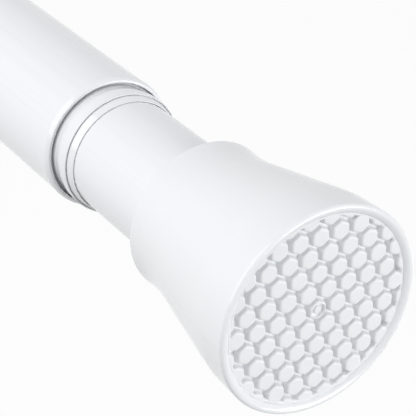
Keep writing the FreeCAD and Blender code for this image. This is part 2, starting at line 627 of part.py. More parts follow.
def bush_pins():
    """Two spring pins, level with the tube, that fix the bush."""
    foot = SHANK_SIDE / 2 + RUN_GAP + BUSH_PIN_WEB
    pin = slotted_pin(BUSH_PIN_R, INNER_TUBE_R - SEAT_GAP - foot, V(BUSH_PIN_X, 0, foot), Z_AXIS)
    return Part.makeCompound(around(pin, 2))


def spring_stop():
    """Plug behind the spring, held by the groove rolled into the tube."""
    end = PLUG_START + STOP_PLUG_LENGTH
    r = INNER_BORE_R - SEAT_GAP
    half = ROLLED_GROOVE / 2 + ROLLED_GROOVE_ROOM
    x = PLUG_GROOVE_AT
    low = INNER_BORE_R - ROLLED_GROOVE_DEPTH - END_GAP
    boss = PLUG_START - BOSS_LENGTH
    return turned(
        (boss, STOP_PLUG_BORE_R),
        (boss, BOSS_R - BOSS_CHAMFER),
        (boss + BOSS_CHAMFER, BOSS_R),
        (PLUG_START, BOSS_R),
        (PLUG_START, r),
        (x - half, r),
        ((x, low), (x + half, r)),
        (end, r),
        (end, STOP_PLUG_BORE_R),
    )


def main():
    os.makedirs("parts", exist_ok=True)
    foot_moulding, foot_pad = foot(), pad()
    nodes = {
        "outer_tube": outer_tube(),
        "guide_collar": guide_collar(),
        "fixed_end_cap": foot_moulding,
        "fixed_end_pad": foot_pad,
        "grip_sleeve": grip_sleeve(),
        "drag_ring": drag_ring(),
        "wedge_nut": wedge_nut(),
        "lock_screw": lock_screw(),
        "thrust_washer": thrust_washer(),
        "retaining_clip": retaining_clip(),
        "stop_washer": stop_washer(),
        "stop_screw": stop_screw(),
        "spring_piston": spring_piston(),
        "piston_pin": piston_pin(),
        "piston_washer": spring_washer(BOSS_START + SEAT_GAP),
        "compression_spring": compression_spring(),
        "stop_end_washer": spring_washer(END_WASHER_START),
        "spring_stop": spring_stop(),
        "inner_tube": inner_tube(),
        "tube_end_bush": tube_end_bush(),
        "bush_pins": bush_pins(),
        "reducer_sleeve": at_moving_end(reducer_sleeve()),
        "moving_end_cap": at_moving_end(foot_moulding),
        "moving_end_pad": at_moving_end(foot_pad),
    }
    for name, shape in nodes.items():
        print(name, len(shape.Solids), shape.isValid(), round(shape.Volume, 1))
        shape.exportStep(f"parts/{name}.step")


main()
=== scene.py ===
"""Looks of a spring tension rod: enamelled tubes, moulded feet, honeycomb pads, the lock and its spring.

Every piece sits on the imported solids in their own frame, +X along the rod and +Z up, in metres.
"""

import json
import math
from functools import reduce

import bmesh
import bpy
import numpy as np
from bpy.props import FloatProperty, FloatVectorProperty, IntProperty, PointerProperty
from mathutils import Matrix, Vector, geometry


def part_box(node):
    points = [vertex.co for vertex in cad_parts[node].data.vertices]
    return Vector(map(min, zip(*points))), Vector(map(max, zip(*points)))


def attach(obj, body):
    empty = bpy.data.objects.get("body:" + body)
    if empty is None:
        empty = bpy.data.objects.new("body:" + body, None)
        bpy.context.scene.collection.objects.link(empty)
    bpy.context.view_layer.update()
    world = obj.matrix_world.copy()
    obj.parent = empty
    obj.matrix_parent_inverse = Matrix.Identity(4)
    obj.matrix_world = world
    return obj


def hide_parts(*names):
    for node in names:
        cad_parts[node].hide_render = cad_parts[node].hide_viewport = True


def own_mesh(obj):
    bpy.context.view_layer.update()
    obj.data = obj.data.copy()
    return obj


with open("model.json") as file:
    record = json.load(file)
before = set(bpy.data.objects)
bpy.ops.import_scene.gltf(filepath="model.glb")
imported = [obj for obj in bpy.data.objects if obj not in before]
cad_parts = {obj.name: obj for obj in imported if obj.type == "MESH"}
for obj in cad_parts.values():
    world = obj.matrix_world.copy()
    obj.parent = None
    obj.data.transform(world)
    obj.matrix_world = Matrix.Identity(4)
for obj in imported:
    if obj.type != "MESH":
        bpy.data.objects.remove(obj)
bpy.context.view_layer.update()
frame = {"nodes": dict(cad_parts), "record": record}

bl_info = {
    "name": "Spring Tension Rod Looks",
    "version": (1, 0, 0),
    "blender": (4, 5, 0),
    "location": "View3D > Sidebar > Tension Rod",
    "description": "Dresses the packed solids of a spring tension rod and sets up its studio",
    "category": "Object",
}

MM = 0.001
MICRON = 0.000001
WHITE = (1.0, 1.0, 1.0, 1.0)
ROW_STEP = math.sqrt(0.75)          # between rows of hexagons, in pitches

MOVING_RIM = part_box("moving_end_cap")[1].x
PAD_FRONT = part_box("fixed_end_pad")[0].x
PEG_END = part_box("fixed_end_pad")[1].x
PAD_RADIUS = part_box("fixed_end_pad")[1].y
SPRING_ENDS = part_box("compression_spring")[0].x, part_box("compression_spring")[1].x
SPRING_OUTER_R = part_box("compression_spring")[1].y
NUT_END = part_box("wedge_nut")[1].x
CLIP_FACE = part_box("retaining_clip")[0].x

# Back of the pads, coil and thread
BACK_EDGE, PEG_CHAMFER, PEG_SEGMENTS = 0.12 * MM, 0.25 * MM, 40
COIL_EASE = 0.12                    # turns over which the coil's pitch changes, on each side
COIL_STEPS, WIRE_SIDES = 56, 20
THREAD_SUNK, THREAD_STEPS = 0.04 * MM, 64
HALF_FOOT, HALF_CREST = 0.30, 0.12  # of the thread's ridge, in leads

# Camera, from the middle of the moving foot's rim
CAMERA_PLACE = (0.1785, -0.1398, 0.1558)
CAMERA_FORWARD = (-0.72063, 0.46846, -0.51112)
CAMERA_CLIP = (0.01, 50.0)

# Lamps: name, direction from what they light, distance and width in metres
KEY_LAMP = ("key_lamp", (-0.12, -0.81, 0.57), 1.4, 1.5)
FILL_LAMP = ("fill_lamp", (0.86, 0.50, -0.04), 1.5, 1.0)
LAMP_AIM = 0.05                     # the lamps light the rod this far behind the moving foot's rim
SKY_COLOUR = (0.97, 0.98, 1.0, 1.0)
FLOOR_COLOUR = (0.9, 0.905, 0.91, 1.0)
FLOOR_REACH = 60.0
SEEN_RAYS = ("Is Camera Ray", "Is Glossy Ray", "Is Transmission Ray")


def length(name, description, default):
    """A length that a user may change, in metres."""
    return FloatProperty(name=name, description=description, default=default,
                         subtype="DISTANCE", unit="LENGTH", min=0.0, precision=5)


def share(name, description, default):
    """A number from nothing to all."""
    return FloatProperty(name=name, description=description, default=default,
                         subtype="FACTOR", min=0.0, max=1.0)


def number(name, description, default, least=0.0):
    """A plain number."""
    return FloatProperty(name=name, description=description, default=default, min=least)


def count(name, description, default, least, most):
    """How many there are of something."""
    return IntProperty(name=name, description=description, default=default, min=least, max=most)


def colour(name, description, default):
    """A linear colour."""
    return FloatVectorProperty(name=name, description=description, default=default,
                               subtype="COLOR", size=3, min=0.0, max=1.0)


class RodFinishes(bpy.types.PropertyGroup):
    """Colours and gloss of the rod's materials."""

    enamel: colour("Enamel", "Baked enamel on both tubes", (0.875, 0.885, 0.905))
    enamel_roughness: share("Enamel roughness", "How blurred the tubes' reflections are", 0.16)
    moulding: colour("Moulding", "Gloss plastic of the feet and the guide collar", (0.875, 0.885, 0.900))
    moulding_roughness: share("Moulding roughness", "How blurred the feet's reflections are", 0.14)
    pad: colour("Pad", "Soft elastomer of the pads", (0.878, 0.886, 0.902))
    pad_roughness: share("Pad roughness", "How matte the pads are", 0.42)
    natural: colour("Natural plastic", "Unpainted bush, reducer and stop", (0.76, 0.74, 0.66))
    filled: colour("Filled plastic", "Glass-filled sleeve, wedge and piston", (0.155, 0.162, 0.172))
    rubber: colour("Rubber", "Drag ring", (0.018, 0.018, 0.019))
    zinc: colour("Zinc", "Plated screw and washers", (0.60, 0.62, 0.65))
    spring_steel: colour("Spring steel", "Drawn wire of the coil, clip and pins", (0.33, 0.335, 0.345))


class PadShape(bpy.types.PropertyGroup):
    """Sizes of the honeycomb pads."""

    pitch: length("Pitch", "Between the middles of two hexagons", 4.35 * MM)
    top_half: length("Top", "Half of a hexagon's width at its top, before its edge is rounded", 1.75 * MM)
    foot_half: length("Foot", "Half of a hexagon's width at its foot", 1.97 * MM)
    height: length("Height", "From the groove's floor to the tops", 1.32 * MM)
    edge_round: length("Top edge", "Run of the rounding along each side of a top edge", 0.46 * MM)
    foot_round: length("Foot fillet", "Run of the fillet along each side of a foot's corner", 0.14 * MM)
    corner_power: number("Corner power", "How sharp the hexagons' upright corners are", 10.0, 4.0)
    ring_width: length("Ring", "Width of the plain ring at its top", 0.55 * MM)
    ring_draft: length("Ring draft", "How much wider the ring is at its foot", 0.16 * MM)
    side_round: length("Side edge", "Rounding of the pad's outer edge", 0.18 * MM)
    swell: length("Swell", "How far the soft pad fills the gap to the foot's wall", 0.04 * MM)
    cup_wall: length("Cup wall", "Wall of the hollow hexagon in the middle", 0.34 * MM)
    cup_depth: length("Cup depth", "Depth of the hollow hexagon", 0.6 * MM)
    gate_radius: length("Gate", "Radius of the gate's stub in the cup", 0.85 * MM)
    gate_height: length("Gate height", "Height of the gate's stub", 0.42 * MM)
    thickness: length("Thickness", "From the rim plane to the pad's back", 3.0 * MM)
    peg_radius: length("Peg", "Radius of the pegs behind the pad", 1.6 * MM)
    peg_circle: length("Peg circle", "From the middle to a peg", 9.0 * MM)
    pegs: count("Pegs", "Pegs behind the pad", 3, 0, 12)


class LockShape(bpy.types.PropertyGroup):
    """Sizes of the coil and the thread."""

    wire: length("Wire", "Radius of the spring's wire", 1.1 * MM)
    closed_pitch: length("Closed pitch", "Pitch of the closed end turns", 2.3 * MM)
    turns: count("Open turns", "Turns between the two closed ones", 7, 1, 40)
    stroke: length("Stroke", "How far the coil is pressed in at the joint's limit", 14.0 * MM)
    thread_radius: length("Thread root", "Radius of the lock screw under its thread", 4.5 * MM)
    thread_height: length("Thread height", "How far the thread stands out", 0.42 * MM)
    thread_lead: length("Lead", "Advance of the thread in one turn", 3.0 * MM)
    wedge_travel: length("Wedge travel", "How far the nut moves along the screw", 4.5 * MM)


class StudioSetup(bpy.types.PropertyGroup):
    """Light, floor and camera."""

    key: number("Key", "Share of a plain light level that the key gives", 0.86)
    fill: number("Fill", "Share that the fill before the foot gives", 0.74)
    sky: number("Sky", "Level of the light from all round", 0.47)
    bounce: share("Bounce", "How much light the floor gives back to the rod", 0.32)
    floor_drop: length("Floor", "How far the floor lies below the rod's axis", 0.45)
    floor_shade: share("Floor shade", "How much of the floor's own shading the camera sees", 0.08)
    lens: number("Lens", "Focal length on a 36 mm sensor", 134.27, 1.0)


class Signal:
    """A shader socket that takes part in plain arithmetic: an expression adds its Math nodes."""

    def __init__(self, tree, socket):
        self.tree = tree
        self.socket = socket

    def maths(self, operation, first, second):
        return self.tree.node("ShaderNodeMath", {"operation": operation}, {0: first, 1: second})

    def __add__(self, other):
        return self.maths("ADD", self, other)

    def __radd__(self, other):
        return self.maths("ADD", other, self)

    def __sub__(self, other):
        return self.maths("SUBTRACT", self, other)

    def __rsub__(self, other):
        return self.maths("SUBTRACT", other, self)

    def __mul__(self, other):
        return self.maths("MULTIPLY", self, other)

    def __rmul__(self, other):
        return self.maths("MULTIPLY", other, self)

    def either(self, other):
        """The larger of two signals."""
        return self.maths("MAXIMUM", self, other)


class ShaderTree:
    """A node tree in the making."""

    def __init__(self, node_tree):
        self.node_tree = node_tree

    def node(self, kind, settings=None, values=None, output=0):
        """Adds a node, sets it, then fills its sockets by name or number, and gives one output."""
        made = self.node_tree.nodes.new(kind)
        for name, value in (settings or {}).items():
            if name == "stops":
                self.set_stops(made.color_ramp, value)
            else:
                setattr(made, name, value)
        for name, value in (values or {}).items():
            self.feed(made.inputs[name], value)
        return Signal(self, made.outputs[output]) if made.outputs else None

    def feed(self, socket, value):
        """Links a signal to a socket, or writes a plain value on it."""
        if isinstance(value, Signal):
            self.node_tree.links.new(value.socket, socket)
        else:
            socket.default_value = value

    def set_stops(self, ramp, stops):
        """Gives a colour ramp its stops, as pairs of a place and a grey level."""
        while len(ramp.elements) < len(stops):
            ramp.elements.new(1.0)
        for element, (place, level) in zip(ramp.elements, stops):
            element.position = place
            element.color = (level, level, level, 1.0)

    def mix_for_rays(self, seen, lit):
        """Shader that the camera, reflections and glass see as one thing and all other rays as another."""
        rays = [self.node("ShaderNodeLightPath", output=ray) for ray in SEEN_RAYS]
        return self.node("ShaderNodeMixShader", {}, {"Fac": reduce(Signal.either, rays), 1: lit, 2: seen})


class Finish(ShaderTree):
    """A material in the making: a principled shader and the nodes that feed it."""

    def __init__(self, name, **constants):
        self.material = bpy.data.materials.new(name)
        self.material.use_nodes = True
        super().__init__(self.material.node_tree)
        self.shader = self.node_tree.nodes["Principled BSDF"]
        self.place = self.node("ShaderNodeTexCoord", output="Object")
        for socket, value in constants.items():
            self.shader.inputs[socket.replace("_", " ")].default_value = value

    def noise(self, scale, detail=2.0, roughness=0.5, where=None):
        """Plain noise of about zero to one, with that many waves in a metre."""
        return self.node("ShaderNodeTexNoise", {"normalize": True}, {
            "Vector": where or self.place, "Scale": scale, "Detail": detail, "Roughness": roughness,
        })

    def combed(self, along, across, detail, roughness):
        """Noise with one number of waves in a metre along the rod, and another across it."""
        where = self.node("ShaderNodeVectorMath", {"operation": "MULTIPLY"},
                          {0: self.place, 1: (along, across, across)})
        return self.noise(1.0, detail, roughness, where)

    def patches(self, signal, low, high):
        """A signal made into patches: nothing below one level, whole above another."""
        return self.node("ShaderNodeValToRGB", {"stops": ((low, 0.0), (high, 1.0))}, {"Fac": signal})

    def tint(self, factor, plain, first, second):
        """A colour between two levels of a plain one."""
        return self.mix(factor, shaded(plain, first), shaded(plain, second))

    def mix(self, factor, first, second):
        """A colour between two."""
        return self.node("ShaderNodeMix", {"data_type": "RGBA"}, {"Factor": factor, 6: first, 7: second}, 2)

    def bump(self, height, depth, under=None):
        """A normal bent by a height of zero to one, which stands for that many metres."""
        values = {"Height": height, "Distance": depth}
        if under:
            values["Normal"] = under
        return self.node("ShaderNodeBump", {}, values)

    def dress(self, **signals):
        """Feeds the shader's own sockets and gives the material."""
        for name, signal in signals.items():
            self.feed(self.shader.inputs[name.replace("_", " ")], signal)
        return self.material


def shaded(plain, level):
    """A colour times a level, with full alpha."""
    return (*(channel * level for channel in plain), 1.0)


def enamel_finish(look):
    """Baked enamel over a rolled tube: drawing lines and streaks along the rod, and a fine orange peel."""
    finish = Finish("white_enamelled_steel_look", IOR=1.5, Coat_Weight=0.15, Coat_Roughness=0.05)
    lines = finish.combed(7.0, 520.0, 3.0, 0.55)
    broad = finish.combed(4.0, 110.0, 1.0, 0.5)
    streaks = finish.patches(finish.combed(2.5, 900.0, 2.0, 0.6), 0.50, 0.72)
    peel = finish.noise(760.0)
    drawn = finish.bump(lines * 0.7 + broad * 0.6 + streaks * 0.3, 18 * MICRON)
    return finish.dress(
        Base_Color=finish.tint(lines * 0.35 + streaks * 0.6, look.enamel, 1.010, 0.975),
        Roughness=(lines - 0.5) * 0.10 + (peel - 0.5) * 0.05 + look.enamel_roughness,
        Normal=finish.bump(peel, 4 * MICRON, drawn),
    )


def moulding_finish(look):
    """Gloss moulding: a little slow sink and flow in the skin, and fine handling marks."""
    finish = Finish("white_gloss_plastic_look", IOR=1.49, Coat_Weight=0.15, Coat_Roughness=0.04)
    flow = finish.combed(38.0, 95.0, 2.0, 0.45)
    skin = finish.noise(1500.0, 3.0, 0.6)
    rubbed = finish.patches(finish.combed(900.0, 240.0, 4.0, 0.7), 0.52, 0.80)
    slow = finish.bump(flow, 70 * MICRON)
    return finish.dress(
        Base_Color=finish.tint(flow * 0.6 + skin * 0.2, look.moulding, 0.985, 1.010),
        Roughness=rubbed * 0.07 + (skin - 0.5) * 0.05 + (look.moulding_roughness - 0.01),
        Normal=finish.bump(skin, 1.6 * MICRON, slow),
    )


def pad_finish(look):
    """Soft elastomer: a fine spark-eroded grain and slight clouding."""
    finish = Finish("white_soft_pad_look", IOR=1.46, Sheen_Weight=0.04, Sheen_Roughness=0.5)
    grain = finish.noise(5200.0, 3.0, 0.6)
    cloud = finish.noise(170.0, 3.0)
    return finish.dress(
        Base_Color=finish.tint(cloud * 0.7 + grain * 0.2, look.pad, 0.975, 1.015),
        Roughness=(grain - 0.5) * 0.16 + (cloud - 0.5) * 0.08 + look.pad_roughness,
        Normal=finish.bump(grain, 8.5 * MICRON),
    )


def natural_finish(look):
    """Unpainted translucent moulding, slightly clouded and scuffed."""
    finish = Finish("natural_plastic_look", IOR=1.5)
    cloud = finish.noise(240.0, 4.0, 0.6)
    scuff = finish.patches(finish.combed(1800.0, 300.0, 5.0, 0.7), 0.5, 0.75)
    return finish.dress(
        Base_Color=finish.tint(cloud, look.natural, 0.90, 1.06),
        Roughness=scuff * 0.18 + cloud * 0.10 + 0.30,
        Normal=finish.bump(scuff * 0.4 + cloud * 0.6, 12 * MICRON),
    )


def filled_finish(look):
    """Glass-filled moulding: short pale fibres at the surface, combed along the flow."""
    finish = Finish("grey_plastic_look", IOR=1.5)
    fibres = finish.patches(finish.combed(900.0, 5200.0, 3.0, 0.6), 0.56, 0.70)
    swirl = finish.noise(160.0, 3.0, 0.55)
    return finish.dress(
        Base_Color=finish.tint(fibres * 0.45 + swirl * 0.25, look.filled, 0.85, 1.9),
        Roughness=fibres * 0.20 + swirl * 0.12 + 0.34,
        Normal=finish.bump(fibres, 10 * MICRON),
    )


def rubber_finish(look):
    """Moulded rubber with a dusty bloom."""
    finish = Finish("black_rubber_look", IOR=1.5)
    bloom = finish.patches(finish.noise(900.0, 4.0, 0.65), 0.45, 0.75)
    grain = finish.noise(6000.0)
    return finish.dress(
        Base_Color=finish.tint(bloom, look.rubber, 1.0, 3.2),
        Roughness=bloom * 0.20 + grain * 0.08 + 0.50,
        Normal=finish.bump(grain, 10 * MICRON),
    )


def zinc_finish(look):
    """Bright zinc plate: soft spangle, turning marks round the axis and a warm passivate."""
    finish = Finish("zinc_steel_look", Metallic=1.0)
    spangle = finish.node("ShaderNodeTexVoronoi", {"feature": "F1"}, {"Vector": finish.place, "Scale": 620.0})
    turned = finish.combed(5200.0, 260.0, 3.0, 0.6)
    warm = [channel * tone for channel, tone in zip(look.zinc, (1.05, 1.00, 0.88))]
    return finish.dress(
        Base_Color=finish.mix(spangle * 0.6 + turned * 0.4, shaded(look.zinc, 1.0), shaded(warm, 1.04)),
        Roughness=turned * 0.18 + spangle * 0.12 + 0.20,
        Normal=finish.bump(turned, 6 * MICRON),
    )


def wire_finish(look):
    """Drawn spring wire under a thin film of oil, darker and rougher where its scale stays."""
    finish = Finish("spring_steel_look", Metallic=1.0, Coat_Weight=0.25, Coat_Roughness=0.18)
    bare = finish.patches(finish.noise(420.0, 5.0, 0.65), 0.40, 0.70)
    drawn = finish.noise(2600.0)
    return finish.dress(
        Base_Color=finish.tint(bare, look.spring_steel, 0.62, 1.12),
        Roughness=drawn * 0.16 + (1 - bare) * 0.08 + 0.28,
        Normal=finish.bump(drawn * 0.6 + bare * 0.4, 9 * MICRON),
    )


FINISHES = {
    "white_enamelled_steel": enamel_finish,
    "white_gloss_plastic": moulding_finish,
    "white_soft_pad": pad_finish,
    "natural_plastic": natural_finish,
    "grey_plastic": filled_finish,
    "black_rubber": rubber_finish,
    "zinc_steel": zinc_finish,
    "spring_steel": wire_finish,
}


def finish_of(slot, look):
    """The material of one of the record's slots, made the first time it is asked for."""
    return bpy.data.materials.get(slot + "_look") or FINISHES[slot](look)


def paint_nodes(slots, look):
    """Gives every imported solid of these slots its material."""
    for part in frame["record"]["subparts"]:
        if part["material_slot"] in slots:
            mesh = frame["nodes"][part["node"]].data
            mesh.materials.clear()
            mesh.materials.append(finish_of(part["material_slot"], look))


def new_piece(name, mesh, slot, body, look, stands_for=()):
    """Links a mesh as a piece that rides on a body and takes the finish of a slot."""
    piece = bpy.data.objects.new(name, mesh)
    bpy.context.scene.collection.objects.link(piece)
    mesh.materials.append(finish_of(slot, look))
    mesh.shade_smooth()
    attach(piece, body)
    if stands_for:
        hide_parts(*stands_for)
    return piece


def to_mesh(bm, name):
    """Turns all faces of a finished bmesh outward and writes it into a new mesh."""
    bmesh.ops.recalc_face_normals(bm, faces=bm.faces)
    mesh = bpy.data.meshes.new(name)
    bm.to_mesh(mesh)
    bm.free()
    return mesh


def turns_round(steps):
    """Angles of so many equal steps round a circle."""
    return [2 * math.pi * i / steps for i in range(steps)]


def rounded(points, runs, steps):
    """Profile whose inner corners are eased: each curve starts and ends that run from its corner."""
    rows = [points[0]]
    for before, corner, after, run in zip(points, points[1:], points[2:], runs):
        a, b, c = Vector(before), Vector(corner), Vector(after)
        start = b + (a - b).normalized() * run
        end = b + (c - b).normalized() * run
        for i in range(steps + 1):
            t = i / steps
            rows.append(tuple(start * (1 - t) ** 2 + b * 2 * t * (1 - t) + end * t * t))
    rows.append(points[-1])
    return rows


class PadPattern:
    """Depth of the pad's face behind the rim plane, and the lines that its mesh follows."""

    ROUND_STEPS = 6
    RING_SEGMENTS = 288
    GATE_SEGMENTS = 36
    CORNER_TURNS = (-19.0, -12.0, -7.0, -3.0, 0.0, 3.0, 7.0, 12.0, 19.0, 30.0)  # degrees from a corner
    RIM_CLEAR = 0.15 * MM           # hexagon lines end this far inside the ring's flat top
    PAST_RING = 0.35                # pitches that a cut hexagon's middle may lie past the ring's edge
    FLAT_START = 0.6                # share of a top's width that has no lines
    CUP_DRAFT, CUP_EDGE = 0.10 * MM, 0.08 * MM
    GATE_DRAFT, GATE_EDGE, GATE_FILLET = 0.12 * MM, 0.22 * MM, 0.10 * MM
    RISE = 1e-7                     # keeps the radii of the upright side rising
    SAME_PLACE = 1e-8               # points nearer than this are one

    def __init__(self, shape):
        self.shape = shape
        top = PAD_FRONT
        self.floor = floor = top + shape.height
        self.radius = radius = PAD_RADIUS + shape.swell
        self.ring_edge = ring_edge = radius - shape.ring_width
        self.reach = ring_edge + self.PAST_RING * shape.pitch
        self.hexagon = rounded(
            [(self.FLAT_START * shape.top_half, top), (shape.top_half, top),
             (shape.foot_half, floor), (shape.pitch, floor)],
            (shape.edge_round, shape.foot_round), self.ROUND_STEPS)
        self.ring = rounded(
            [(ring_edge - shape.pitch, floor), (ring_edge - shape.ring_draft, floor), (ring_edge, top),
             (radius, top), (radius + self.RISE, top + shape.side_round)],
            (shape.foot_round, shape.edge_round, shape.side_round), self.ROUND_STEPS)
        cup, cup_floor = shape.top_half - shape.cup_wall, top + shape.cup_depth
        self.cup = rounded(
            [(0.0, cup_floor), (cup - self.CUP_DRAFT, cup_floor), (cup, top), (2 * cup, top)],
            (shape.foot_round, self.CUP_EDGE), self.ROUND_STEPS)
        gate, gate_top = shape.gate_radius, cup_floor - shape.gate_height
        self.gate = rounded(
            [(0.0, gate_top), (gate - self.GATE_DRAFT, gate_top), (gate, cup_floor), (2 * gate, cup_floor)],
            (self.GATE_EDGE, self.GATE_FILLET), self.ROUND_STEPS)

    def spread(self, y, z):
        """Level of a hexagon's outline through a point, measured from the hexagon's middle."""
        power = self.shape.corner_power
        a, b, c = abs(y), abs(y / 2 + z * ROW_STEP), abs(y / 2 - z * ROW_STEP)
        return (a ** power + b ** power + c ** power) ** (1 / power)

    def middles(self):
        """Middles of the hexagons, in rows along Y."""
        pitch = self.shape.pitch
        rows = int(self.reach / (pitch * ROW_STEP)) + 1
        for row in range(-rows, rows + 1):
            for column in range(-rows - 1, rows + 2):
                y = (column + 0.5 * (row % 2)) * pitch
                z = row * pitch * ROW_STEP
                if math.hypot(y, z) < self.reach:
                    yield y, z

    def depths(self, points):
        """Depth of the face at many points, as an array."""
        y, z = points[:, 0], points[:, 1]
        pitch = self.shape.pitch
        radius = np.hypot(y, z)
        depth = np.interp(radius, *zip(*self.ring))
        lower = np.floor(z / (pitch * ROW_STEP))
        for row in (lower, lower + 1):
            shift = 0.5 * (row % 2)
            middle_y = (np.round(y / pitch - shift) + shift) * pitch
            middle_z = row * pitch * ROW_STEP
            level = self.spread(y - middle_y, z - middle_z)
            stud = np.interp(level, *zip(*self.hexagon))
            stud = np.where(np.hypot(middle_y, middle_z) < self.reach, stud, self.floor)
            depth = np.minimum(depth, stud)
        inside = np.interp(self.spread(y, z), *zip(*self.cup))
        inside = np.minimum(inside, np.interp(radius, *zip(*self.gate)))
        return np.where(radius < self.shape.top_half, np.maximum(depth, inside), depth)

    def outline(self, middle, level, points, lines):
        """Adds one closed outline of a hexagon, without the stretches that the ring covers."""
        limit = self.ring_edge + self.RIM_CLEAR
        kept = []
        for side in range(6):
            for turn in self.CORNER_TURNS:
                angle = math.radians(60 * side + 30 + turn)
                y, z = math.cos(angle), math.sin(angle)
                r = level / self.spread(y, z)
                place = (middle[0] + r * y, middle[1] + r * z)
                if math.hypot(*place) < limit:
                    kept.append(len(points))
                    points.append(place)
                else:
                    kept.append(None)
        lines += [(a, b) for a, b in zip(kept[-1:] + kept, kept) if a is not None and b is not None]

    def circle(self, radius, segments, points, lines, middle=(0.0, 0.0)):
        """Adds one round line."""
        first = len(points)
        for i, turn in enumerate(turns_round(segments)):
            points.append((middle[0] + radius * math.cos(turn), middle[1] + radius * math.sin(turn)))
            lines.append((first + i, first + (i + 1) % segments))

    def face(self):
        """Points and triangles of the whole front face."""
        points, lines = [], []
        for middle in self.middles():
            for level, _ in self.hexagon[:-1]:
                self.outline(middle, level, points, lines)
        for level, _ in self.cup[1:-1]:
            self.outline((0.0, 0.0), level, points, lines)
        for radius, _ in self.gate[1:-1]:
            self.circle(radius, self.GATE_SEGMENTS, points, lines)
        for radius, _ in self.ring[1:-1]:
            self.circle(min(radius, self.radius), self.RING_SEGMENTS, points, lines)
        return self.triangulate(points, lines)

    def triangulate(self, points, lines):
        """Triangles that keep to the given lines."""
        flat, _, triangles, *_ = geometry.delaunay_2d_cdt(
            [Vector(point) for point in points], lines, [], 0, self.SAME_PLACE, False)
        return np.array([tuple(point) for point in flat]), triangles


def pad_mesh(shape):
    """One pad, facing -X with its rim plane at x = 0: face, side, back and pegs in one closed skin."""
    pattern = PadPattern(shape)
    flat, triangles = pattern.face()
    bm = bmesh.new()
    verts = [bm.verts.new((x, y, z)) for x, (y, z) in zip(pattern.depths(flat), flat)]
    for triangle in triangles:
        bm.faces.new([verts[i] for i in triangle])
    close_back(bm, pattern, shape)
    return to_mesh(bm, "honeycomb_pad")


def close_back(bm, pattern, shape):
    """Carries the face's open edge back along the pad's side, and closes it with a back that has pegs."""
    rows = [(pattern.radius, shape.thickness - BACK_EDGE), (pattern.radius - BACK_EDGE, shape.thickness)]
    border = [e for e in bm.edges if e.is_boundary]
    loop = sorted({v for e in border for v in e.verts}, key=lambda v: math.atan2(v.co.z, v.co.y))
    for radius, depth in rows:
        turns = [math.atan2(v.co.z, v.co.y) for v in loop]
        behind = [bm.verts.new((depth, radius * math.cos(t), radius * math.sin(t))) for t in turns]
        for i in range(len(loop)):
            bm.faces.new((loop[i - 1], loop[i], behind[i], behind[i - 1]))
        loop = behind
    points = [(v.co.y, v.co.z) for v in loop]
    lines = [((i - 1) % len(loop), i) for i in range(len(loop))]
    circle = shape.peg_circle
    pegs = [(-circle * math.sin(t), circle * math.cos(t)) for t in turns_round(shape.pegs)]
    for peg in pegs:
        pattern.circle(shape.peg_radius, PEG_SEGMENTS, points, lines, peg)
    flat, triangles = pattern.triangulate(points, lines)
    back = loop + [bm.verts.new((shape.thickness, y, z)) for y, z in flat[len(loop):]]
    made = [bm.faces.new([back[i] for i in triangle]) for triangle in triangles]
    raise_pegs(bm, made, [Vector(peg) for peg in pegs], shape)


def raise_pegs(bm, faces, pegs, shape):
    """Draws the back's faces inside the peg circles out to the pegs' ends, which are chamfered."""
    middles = [face.calc_center_median().yz for face in faces]
    ends = [face for face, middle in zip(faces, middles)
            if any((middle - peg).length < shape.peg_radius for peg in pegs)]
    shank = PEG_END - shape.thickness - PEG_CHAMFER
    for advance, narrow in ((shank, 0.0), (PEG_CHAMFER, PEG_CHAMFER)):
        grown = bmesh.ops.extrude_face_region(bm, geom=ends)["geom"]
        bmesh.ops.delete(bm, geom=ends, context="FACES_ONLY")
        ends = [g for g in grown if isinstance(g, bmesh.types.BMFace)]
        for vert in {v for f in ends for v in f.verts}:
            peg = min(pegs, key=lambda p: (vert.co.yz - p).length)
            place = peg + (vert.co.yz - peg) * (1 - narrow / shape.peg_radius)
            vert.co = (vert.co.x + advance, *place)


def turned_to_moving_end(mesh):
    """A copy of a mesh of the fixed end, turned half a turn about Z to stand at the moving end."""
    copy = mesh.copy()
    for vert in copy.vertices:
        vert.co = (MOVING_RIM - vert.co.x, -vert.co.y, vert.co.z)
    return copy


def swept(path, section, name):
    """Closed mesh of a section carried along a path, its points given outward and across the path."""
    bm = bmesh.new()
    rings = []
    for place, outward, tangent in path:
        across = tangent.cross(outward).normalized()
        rings.append([bm.verts.new(place + outward * a + across * b) for a, b in section])
    for first, second in zip(rings, rings[1:]):
        for i in range(len(section)):
            bm.faces.new((first[i - 1], first[i], second[i], second[i - 1]))
    bm.faces.new(rings[0])
    bm.faces.new(rings[-1])
    return to_mesh(bm, name)


def helix(radius, advance, turns, per_turn):
    """Path of a helix about the rod's axis: advance gives the place along X for a number of turns."""
    near = 0.01
    path = []
    steps = int(turns * per_turn)
    for i in range(steps + 1):
        turn = turns * i / steps
        angle = 2 * math.pi * turn
        outward = Vector((0.0, math.sin(angle), -math.cos(angle)))
        around = Vector((0.0, math.cos(angle), math.sin(angle))) * radius
        ahead = (advance(turn + near) - advance(turn - near)) / (2 * near)
        tangent = (around * 2 * math.pi + Vector((ahead, 0.0, 0.0))).normalized()
        path.append((Vector((advance(turn), 0.0, 0.0)) + outward * radius, outward, tangent))
    return path


